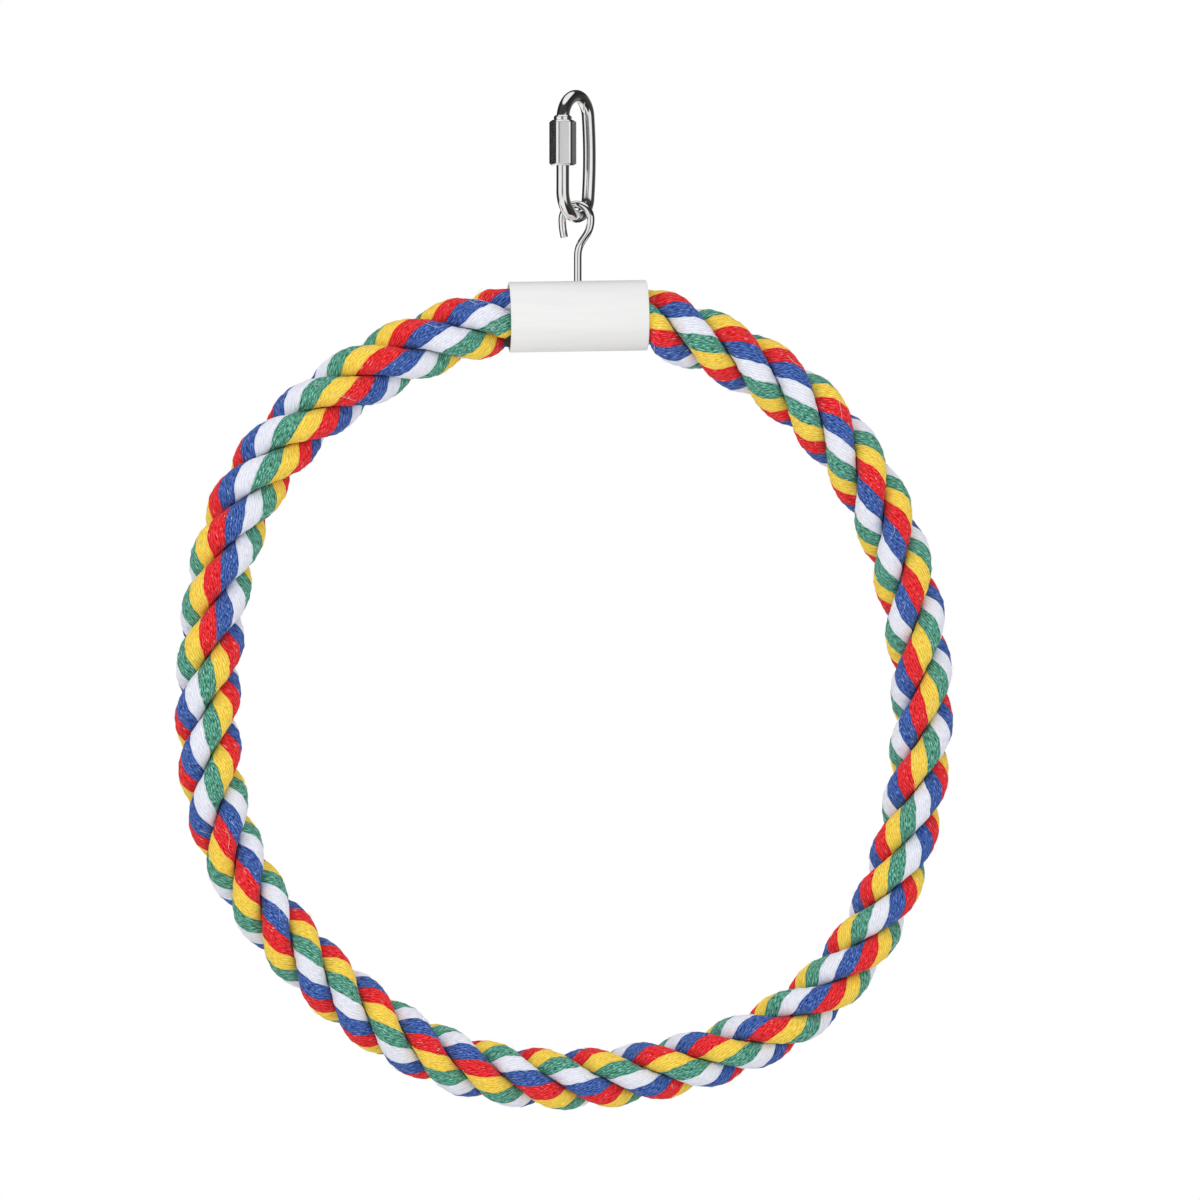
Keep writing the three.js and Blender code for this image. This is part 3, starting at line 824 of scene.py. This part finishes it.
draws = np.random.default_rng(HAIR_SEED)
whole_rope = (mouth + 3 * MM, ring_length - mouth - 12 * MM)
by_right_mouth = (mouth + 1 * MM, mouth + 7 * MM)
by_left_mouth = (ring_length - mouth - 11 * MM, ring_length - mouth - 6 * MM)
for bundle, colour in enumerate(DYES):
    scatter(
        f"{colour}_fuzz", colour, HAIR_RADIUS, HAIR_DOUBLINGS,
        bundle, whole_rope, HAIR_LENGTH, HAIR_LIFT, 1,
    )
for name, doublings, span, length, lift, curl in (
    ("white_stray_threads", THREAD_DOUBLINGS, whole_rope, THREAD_LENGTH, THREAD_LIFT, 1),
    ("right_frayed_threads", RIGHT_FRAY_DOUBLINGS, by_right_mouth, RIGHT_FRAY_LENGTH, FRAY_LIFT, FRAY_CURL),
    ("left_frayed_threads", LEFT_FRAY_DOUBLINGS, by_left_mouth, LEFT_FRAY_LENGTH, FRAY_LIFT, FRAY_CURL),
):
    scatter(name, "white", THREAD_RADIUS, doublings, None, span, length, lift, curl)
print("laid", len(DYES) * 2 ** HAIR_DOUBLINGS, "hairs and", 2 ** THREAD_DOUBLINGS, "stray threads")

# %% [markdown]
# ## Sleeve
#
# The sleeve is a piece of thick white tube with softly broken rims and a hole on top for the hook's shank.
# A lathe makes tube: the wall's outline is drawn once and spun round its axis, and the rims are bevelled.
# A Boolean modifier could drill the hole. Here a patch of faces is taken off both sides of the wall instead,
# the patch's edge is pulled in to a circle, and the two circles are bridged, which gives clean even faces.

# %% Turn and drill the sleeve
SLEEVE_WALL = 1.1 * MM
RIM_ROUND = 0.3 * MM
HOLE_RADIUS = 1.5 * MM
PATCH_HALF = 3
PATCH_FACE = 1 * MM
LATHE_STEPS = 96
ROUND_STEPS = 3
SHARP_TUBE = 40


def spin_profile(bm, profile, axis, steps, closed=True):
    corners = [bm.verts.new(point) for point in profile]
    pairs = list(zip(corners, corners[1:]))
    if closed:
        pairs.append((corners[-1], corners[0]))
    lines = [bm.edges.new(pair) for pair in pairs]
    bmesh.ops.spin(
        bm, geom=corners + lines, cent=(0, 0, 0), axis=axis, angle=2 * math.pi, steps=steps, use_merge=True
    )
    bmesh.ops.remove_doubles(bm, verts=bm.verts, dist=1e-7)
    bmesh.ops.recalc_face_normals(bm, faces=bm.faces)


def round_edges(bm, edges, width, segments):
    bmesh.ops.bevel(
        bm, geom=edges, offset=width, offset_type="OFFSET", segments=segments, profile=0.5,
        affect="EDGES", material=-1,
    )


def push_edges(bm, edges):
    pushed = bmesh.ops.extrude_edge_only(bm, edges=edges)["geom"]
    verts = [item for item in pushed if isinstance(item, bmesh.types.BMVert)]
    edges = [item for item in pushed if isinstance(item, bmesh.types.BMEdge) and item.is_boundary]
    return verts, edges


def open_hole(bm, wall_radius):
    patch = []
    for face in bm.faces:
        x, y, z = face.calc_center_median()
        steps_off = math.atan2(y, z) / (2 * math.pi) * LATHE_STEPS
        on_top = max(abs(x) / PATCH_FACE, abs(steps_off)) < PATCH_HALF
        if on_top and abs(math.hypot(y, z) - wall_radius) < SLEEVE_WALL / 2:
            patch.append(face)
    patch_edge = [edge for edge in bm.edges if sum(face in patch for face in edge.link_faces) == 1]
    bmesh.ops.delete(bm, geom=patch, context="FACES")
    verts, edges = push_edges(bm, patch_edge)
    for vert in verts:
        angle = math.atan2(vert.co.y, vert.co.x)
        y = HOLE_RADIUS * math.sin(angle)
        vert.co = (HOLE_RADIUS * math.cos(angle), y, math.sqrt(wall_radius ** 2 - y ** 2))
    return edges


sleeve_bore = sleeve_radius - SLEEVE_WALL
patch_lines = [PATCH_FACE * i for i in range(-PATCH_HALF, PATCH_HALF + 1)]
wall_line = [(x, sleeve_radius) for x in (-mouth, *patch_lines, mouth)]
wall_line += [(x, sleeve_bore) for x, radius in reversed(wall_line)]
in_sleeve = Matrix.Translation(sleeve_middle) @ Matrix.Rotation(SLEEVE_TILT, 4, "Y")

bm = bmesh.new()
spin_profile(bm, [(x, 0, radius) for x, radius in wall_line], (1, 0, 0), LATHE_STEPS)
rims = [edge for edge in bm.edges if all(abs(abs(vert.co.x) - mouth) < 1e-6 for vert in edge.verts)]
rims = [edge for edge in rims if abs(edge.calc_face_angle() - math.pi / 2) < 0.1]
round_edges(bm, rims, RIM_ROUND, ROUND_STEPS)
bmesh.ops.bridge_loops(bm, edges=open_hole(bm, sleeve_radius) + open_hole(bm, sleeve_bore))
bmesh.ops.recalc_face_normals(bm, faces=bm.faces)
bmesh.ops.transform(bm, matrix=in_sleeve, verts=bm.verts)
sleeve = settle(bm, "white_sleeve", white_tube, "ring", ["joining_sleeve"], SHARP_TUBE)
print("sleeve has", len(sleeve.data.polygons), "faces")

# %% [markdown]
# ## Tape and glue in the sleeve
#
# Before the rope ends go into the sleeve they are wrapped in black tape, and bands of hot glue hold them.
# All of it is out of sight but for one corner of the left wrap, which looks out of the mouth low at
# the front. The wrap is a sheet laid round the rope, longer at that corner, and Solidify gives it thickness.

# %% Wrap the tape and pour the glue
TAPE_RADIUS = 9.16 * MM
TAPE_THICK = 0.25 * MM
GLUE_RADIUS = 9.47 * MM
GLUE_THICK = 0.25 * MM
GLUE_END = 13.25 * MM
CORNER_REACH = 9.2 * MM
CORNER_MIDDLE = math.radians(-60)
CORNER_HALF = math.radians(27)
CORNER_BLUNT = 0.35
TAPE_FLARE = 0.12
TAPE_GRID = (24, 96)
GLUE_SIDES = 48


def wrap_tape(name, side, corner_reach, node):
    bm = bmesh.new()
    bmesh.ops.create_grid(bm, x_segments=TAPE_GRID[0], y_segments=TAPE_GRID[1], size=0.5)
    for vert in bm.verts:
        angle = 2 * math.pi * vert.co.y
        off = (angle - CORNER_MIDDLE + math.pi) % (2 * math.pi) - math.pi
        bulge = max(0, 1 - (off / CORNER_HALF) ** 2)
        reach = tape_end + corner_reach * bulge ** CORNER_BLUNT
        x = ROPE_END + (vert.co.x + 0.5) * (reach - ROPE_END)
        radius = TAPE_RADIUS + TAPE_FLARE * max(0, x - mouth)
        vert.co = (side * x, -radius * math.cos(angle), radius * math.sin(angle))
    bmesh.ops.remove_doubles(bm, verts=bm.verts, dist=1e-7)
    bmesh.ops.recalc_face_normals(bm, faces=bm.faces)
    bmesh.ops.transform(bm, matrix=in_sleeve, verts=bm.verts)
    tape = settle(bm, name, black_tape, "ring", [node])
    thickness = tape.modifiers.new("thickness", "SOLIDIFY")
    thickness.thickness = TAPE_THICK
    thickness.offset = 1
    return tape


def pour_glue(name, side, node):
    bm = bmesh.new()
    start, end = sorted((side * ROPE_END, side * GLUE_END))
    inner, outer = GLUE_RADIUS, GLUE_RADIUS + GLUE_THICK
    band = [(start, 0, inner), (start, 0, outer), (end, 0, outer), (end, 0, inner)]
    spin_profile(bm, band, (1, 0, 0), GLUE_SIDES)
    bmesh.ops.transform(bm, matrix=in_sleeve, verts=bm.verts)
    return settle(bm, name, set_glue, "ring", [node], SHARP_TUBE)


wrap_tape("left_tape", -1, CORNER_REACH, "end_tape_left")
wrap_tape("right_tape", 1, 0, "end_tape_right")
pour_glue("left_glue", -1, "glue_band_left")
pour_glue("right_glue", 1, "glue_band_right")
print("wrapped and glued both rope ends")

# %% [markdown]
# ## Link
#
# The link is one steel rod, bent to a long oval with a gap in one leg. The other leg is plain and bulges a
# little, so its side is three arcs that run into each other. The leg below the nut has a fine thread, which
# is seen as teeth on the rod's edges. A rod like this could be a bevelled curve, but a mesh keeps its place
# and can carry the thread: a circle is extruded from stop to stop along the oval and turned with it. The
# thread is then pressed into the leg's rings.

# %% Bend the link's rod
LINK_ROD = 2.0 * MM
LINK_BOW = 7.5 * MM
PLAIN_BOW = 6.4 * MM
PLAIN_LEG_X = 7.1 * MM
UPPER_BOW_Z = -5.5 * MM
LOWER_BOW_Z = -27.5 * MM
UPPER_END_Z = -6.7 * MM
LOWER_END_Z = -11.7 * MM
LINK_TURN = math.radians(51.6)
ROD_SIDES = 40
BOW_STOPS = 22
END_ROUND = 0.35 * MM
THREAD_PITCH = 0.7 * MM
THREAD_DEPTH = 0.03 * MM
THREAD_STEPS = 8
THREAD_END_Z = -27.4 * MM
THREAD_FADE = 2.0 * MM
SHARP_ROD = 50


def arc_stops(x, z, radius, start, turn, count):
    angles = [start - turn * i / count for i in range(count + 1)]
    return [(x + radius * math.cos(a), z + radius * math.sin(a), math.pi - a) for a in angles]


def bend_rod(bm, stops, radius, sides):
    x, z, heading = stops[0]
    place = Matrix.Translation((x, 0, z)) @ Matrix.Rotation(heading, 4, "Y")
    ring = bmesh.ops.create_circle(bm, cap_ends=False, segments=sides, radius=radius, matrix=place)
    edges = list({edge for vert in ring["verts"] for edge in vert.link_edges})
    for (x, z, heading), (next_x, next_z, next_heading) in zip(stops, stops[1:]):
        verts, edges = push_edges(bm, edges)
        turn = Matrix.Rotation(next_heading - heading, 3, "Y")
        bmesh.ops.rotate(bm, verts=verts, cent=(x, 0, z), matrix=turn)
        bmesh.ops.translate(bm, verts=verts, vec=(next_x - x, 0, next_z - z))
    return edges


def close_ends(bm, width):
    rims = [edge for edge in bm.edges if edge.is_boundary]
    bmesh.ops.holes_fill(bm, edges=rims, sides=0)
    bmesh.ops.recalc_face_normals(bm, faces=bm.faces)
    round_edges(bm, rims, width, ROUND_STEPS)


leg_steps = round((LOWER_END_Z - LOWER_BOW_Z) / THREAD_PITCH * THREAD_STEPS)
leg_height = (LOWER_END_Z - LOWER_BOW_Z) / leg_steps
link_middle = (UPPER_BOW_Z + LOWER_BOW_Z) / 2
half_link = UPPER_BOW_Z + LINK_BOW - link_middle
bow_height = half_link - PLAIN_BOW
leg_radius = PLAIN_LEG_X ** 2 + half_link ** 2 - 2 * half_link * PLAIN_BOW
leg_radius /= 2 * (PLAIN_LEG_X - PLAIN_BOW)
leg_angle = math.asin(bow_height / (leg_radius - PLAIN_BOW))
link_stops = [(-LINK_BOW, UPPER_END_Z, 0), (-LINK_BOW, UPPER_BOW_Z, 0)]
for x, z, radius, start, end in (
    (0, UPPER_BOW_Z, LINK_BOW, math.pi, math.pi / 2),
    (0, link_middle + bow_height, PLAIN_BOW, math.pi / 2, leg_angle),
    (PLAIN_LEG_X - leg_radius, link_middle, leg_radius, leg_angle, -leg_angle),
    (0, link_middle - bow_height, PLAIN_BOW, -leg_angle, -math.pi / 2),
    (0, LOWER_BOW_Z, LINK_BOW, -math.pi / 2, -math.pi),
):
    link_stops += arc_stops(x, z, radius, start, start - end, BOW_STOPS)[1:]
link_stops += [(-LINK_BOW, LOWER_BOW_Z + leg_height * i, 2 * math.pi) for i in range(1, leg_steps + 1)]

bm = bmesh.new()
bend_rod(bm, link_stops, LINK_ROD, ROD_SIDES)
for vert in bm.verts:
    x, y, z = vert.co
    on_leg = abs(x + LINK_BOW) < 1.1 * LINK_ROD and THREAD_END_Z < z < LOWER_END_Z + leg_height / 2
    if on_leg:
        turn = math.atan2(y, x + LINK_BOW)
        tooth = abs(2 * ((z / THREAD_PITCH + turn / (2 * math.pi)) % 1) - 1)
        depth = THREAD_DEPTH * tooth * min((z - THREAD_END_Z) / THREAD_FADE, 1)
        vert.co.x -= depth * math.cos(turn)
        vert.co.y -= depth * math.sin(turn)
close_ends(bm, END_ROUND)
bmesh.ops.rotate(bm, verts=bm.verts, cent=(0, 0, 0), matrix=Matrix.Rotation(LINK_TURN, 3, "Z"))
link = settle(bm, "link_rod", polished_rod, "quick_link", ["quick_link_body"], SHARP_ROD)
print("link has", len(link.data.polygons), "faces")

# %% [markdown]
# ## Nut
#
# A long hexagon nut with a chamfered collar on top closes the link. It is cut from drawn bar with
# rounded edges, which shine. Turning on a lathe cuts each corner of the hexagon back in a curve, which is why
# the flats end in shallow arches. The same happens here: a hexagon prism gets its long edges rounded, and its
# ends are cut by many planes that stand round a cone. The bore and the collar are one spun line, and two
# bridges join it to the prism. The six large flats are frosted and all the smaller faces are polished.

# %% Cut the nut
NUT_LENGTH = 14 * MM
NUT_COLLAR = 2.8 * MM
NUT_COLLAR_LENGTH = 1.5 * MM
COLLAR_CHAMFER = 0.45 * MM
NUT_BORE = 2.2 * MM
NUT_FLAT = 3.82 * MM
NUT_CHAMFER = 1.0 * MM
CHAMFER_RUN = 1.2 * MM
NUT_TURN = math.radians(3.0)
BAR_ROUND = 0.75 * MM
BAR_STEPS = 6
NUT_EDGE = 0.12 * MM
NUT_STEPS = 72
SHARP_NUT = 25
FLAT_AREA = 10 * MM * MM

nut_low, nut_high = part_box("quick_link_nut")
nut_place = (nut_low + nut_high) / 2
nut_place.z = nut_low.z + NUT_LENGTH / 2
nut_corner = NUT_FLAT / math.cos(math.pi / 6)
half_nut = NUT_LENGTH / 2

bm = bmesh.new()
bmesh.ops.create_circle(bm, cap_ends=True, segments=6, radius=nut_corner)
bmesh.ops.translate(bm, verts=bm.verts, vec=(0, 0, -half_nut))
lifted = bmesh.ops.extrude_face_region(bm, geom=bm.faces[:])["geom"]
lifted = [item for item in lifted if isinstance(item, bmesh.types.BMVert)]
bmesh.ops.translate(bm, verts=lifted, vec=(0, 0, NUT_LENGTH))
bmesh.ops.recalc_face_normals(bm, faces=bm.faces)
bar_edges = [edge for edge in bm.edges if abs(edge.verts[0].co.z - edge.verts[1].co.z) > half_nut]
round_edges(bm, bar_edges, BAR_ROUND, BAR_STEPS)
bmesh.ops.rotate(bm, verts=bm.verts, cent=(0, 0, 0), matrix=Matrix.Rotation(math.pi / 6 + NUT_TURN, 3, "Z"))
facet = math.cos(math.pi / NUT_STEPS)
for step in range(NUT_STEPS):
    angle = 2 * math.pi * (step + 0.5) / NUT_STEPS
    outwards = Vector((math.cos(angle), math.sin(angle), 0)) * facet
    for end in (1, -1):
        cut = bmesh.ops.bisect_plane(
            bm, geom=bm.verts[:] + bm.edges[:] + bm.faces[:], dist=1e-8, clear_outer=True,
            plane_co=outwards * (nut_corner - NUT_CHAMFER) + upwards * end * half_nut,
            plane_no=outwards * NUT_CHAMFER / facet + upwards * end * CHAMFER_RUN * facet,
        )["geom_cut"]
        cut_edges = [item for item in cut if isinstance(item, bmesh.types.BMEdge)]
        bmesh.ops.holes_fill(bm, edges=cut_edges, sides=0)
bmesh.ops.recalc_face_normals(bm, faces=bm.faces)
end_faces = [face for face in bm.faces if abs(face.normal.z) > 0.99]
bmesh.ops.delete(bm, geom=end_faces, context="FACES_ONLY")

collar_top = half_nut + NUT_COLLAR_LENGTH
bore_line = [(NUT_BORE, -half_nut), (NUT_BORE, collar_top), (NUT_COLLAR - COLLAR_CHAMFER, collar_top)]
bore_line += [(NUT_COLLAR, collar_top - COLLAR_CHAMFER), (NUT_COLLAR, half_nut)]
spin_profile(bm, [(radius, 0, height) for radius, height in bore_line], (0, 0, 1), NUT_STEPS, closed=False)
for end in (1, -1):
    rims = [edge for edge in bm.edges if edge.is_boundary and edge.verts[0].co.z * end > 0]
    bmesh.ops.bridge_loops(bm, edges=rims)
bmesh.ops.recalc_face_normals(bm, faces=bm.faces)
bmesh.ops.translate(bm, verts=bm.verts, vec=nut_place)
nut = settle(bm, "link_nut_hexagon", frosted_nut, "link_nut", ["quick_link_nut"], SHARP_NUT)
nut.data.materials.append(polished_rod)
for face in nut.data.polygons:
    face.material_index = 0 if face.area > FLAT_AREA else 1
soft_edges = nut.modifiers.new("soft_edges", "BEVEL")
soft_edges.width = NUT_EDGE
soft_edges.segments = ROUND_STEPS
soft_edges.limit_method = "ANGLE"
soft_edges.angle_limit = math.radians(SHARP_NUT)
print("nut has", len(nut.data.polygons), "faces before its edges are softened")

# %% [markdown]
# ## Hook
#
# The hook is a piece of thick wire: an open crook that hangs on the link's lower bow, an easy bend back under
# the load, and a straight shank whose end is upset to a head inside the sleeve. It is made as the link is,
# by pushing a circle along a flat path, and the head is the last ring widened.

# %% Bend the hook's wire
HOOK_WIRE = 1.2 * MM
HOOK_SIDES = 32
HOOK_SHANK_X = 0.4 * MM
HOOK_TURN = math.radians(-19.4)
CROOK_RADIUS = 4.55 * MM
CROOK_X = -0.4 * MM
CROOK_Z = -35.85 * MM
TIP_DROP = 5.6 * MM
TIP_CURL = 0.7 * MM
BEND_LENGTH = 11.5 * MM
HEAD_RADIUS = 2.4 * MM
HEAD_TOP_Z = -57.57 * MM
HEAD_THICK = 1.2 * MM
TIP_ROUND = 0.15 * MM
TIP_STOPS = 10
CROOK_STOPS = 32
BEND_STOPS = 26


def bezier_stops(points, count):
    stops = []
    points = [Vector(point) for point in points]
    for i in range(count + 1):
        t = i / count
        row = points
        while len(row) > 2:
            row = [a.lerp(b, t) for a, b in zip(row, row[1:])]
        place = row[0].lerp(row[1], t)
        heading = row[1] - row[0]
        stops.append((place.x, place.y, math.atan2(heading.x, heading.y)))
    return stops


crook_left = CROOK_X - CROOK_RADIUS
crook_right = CROOK_X + CROOK_RADIUS
tip = (crook_left + TIP_CURL, CROOK_Z - TIP_DROP)
bend_z = CROOK_Z - BEND_LENGTH / 2
shank_top = (0, CROOK_Z - BEND_LENGTH)
tip_curve = (tip, (crook_left, CROOK_Z - TIP_DROP / 2), (crook_left, CROOK_Z))
bend_curve = ((crook_right, CROOK_Z), (crook_right, bend_z), (0, bend_z), shank_top)
hook_stops = bezier_stops(tip_curve, TIP_STOPS)[:-1]
hook_stops += arc_stops(CROOK_X, CROOK_Z, CROOK_RADIUS, math.pi, math.pi, CROOK_STOPS)
for x, z, heading in bezier_stops(bend_curve, BEND_STOPS)[1:]:
    hook_stops.append((x, z, heading % (2 * math.pi)))
hook_stops.append((0, HEAD_TOP_Z, math.pi))

bm = bmesh.new()
last_ring = bend_rod(bm, hook_stops, HOOK_WIRE, HOOK_SIDES)
for widen, drop in ((HEAD_RADIUS / HOOK_WIRE, 0), (1, -HEAD_THICK)):
    verts, last_ring = push_edges(bm, last_ring)
    bmesh.ops.scale(bm, verts=verts, vec=(widen, widen, 1))
    bmesh.ops.translate(bm, verts=verts, vec=(0, 0, drop))
close_ends(bm, TIP_ROUND)
bmesh.ops.rotate(bm, verts=bm.verts, cent=(0, 0, 0), matrix=Matrix.Rotation(HOOK_TURN, 3, "Z"))
bmesh.ops.translate(bm, verts=bm.verts, vec=(HOOK_SHANK_X, 0, 0))
hook = settle(bm, "wire_hook", drawn_wire, "hook", ["swing_hook"], SHARP_ROD)
print("hook has", len(hook.data.polygons), "faces")

# %% [markdown]
# ## The bits inside
#
# The core wire, its ferrule and the washer under the shank's head keep their solids, which are right
# as they are, and get the dull zinc finish.

# %% Finish the hidden bits
for node in ("core_wire", "core_ferrule", "hook_washer"):
    for slot in frame["nodes"][node].material_slots:
        slot.material = zinc
print("zinc on the core wire, its ferrule and the washer")
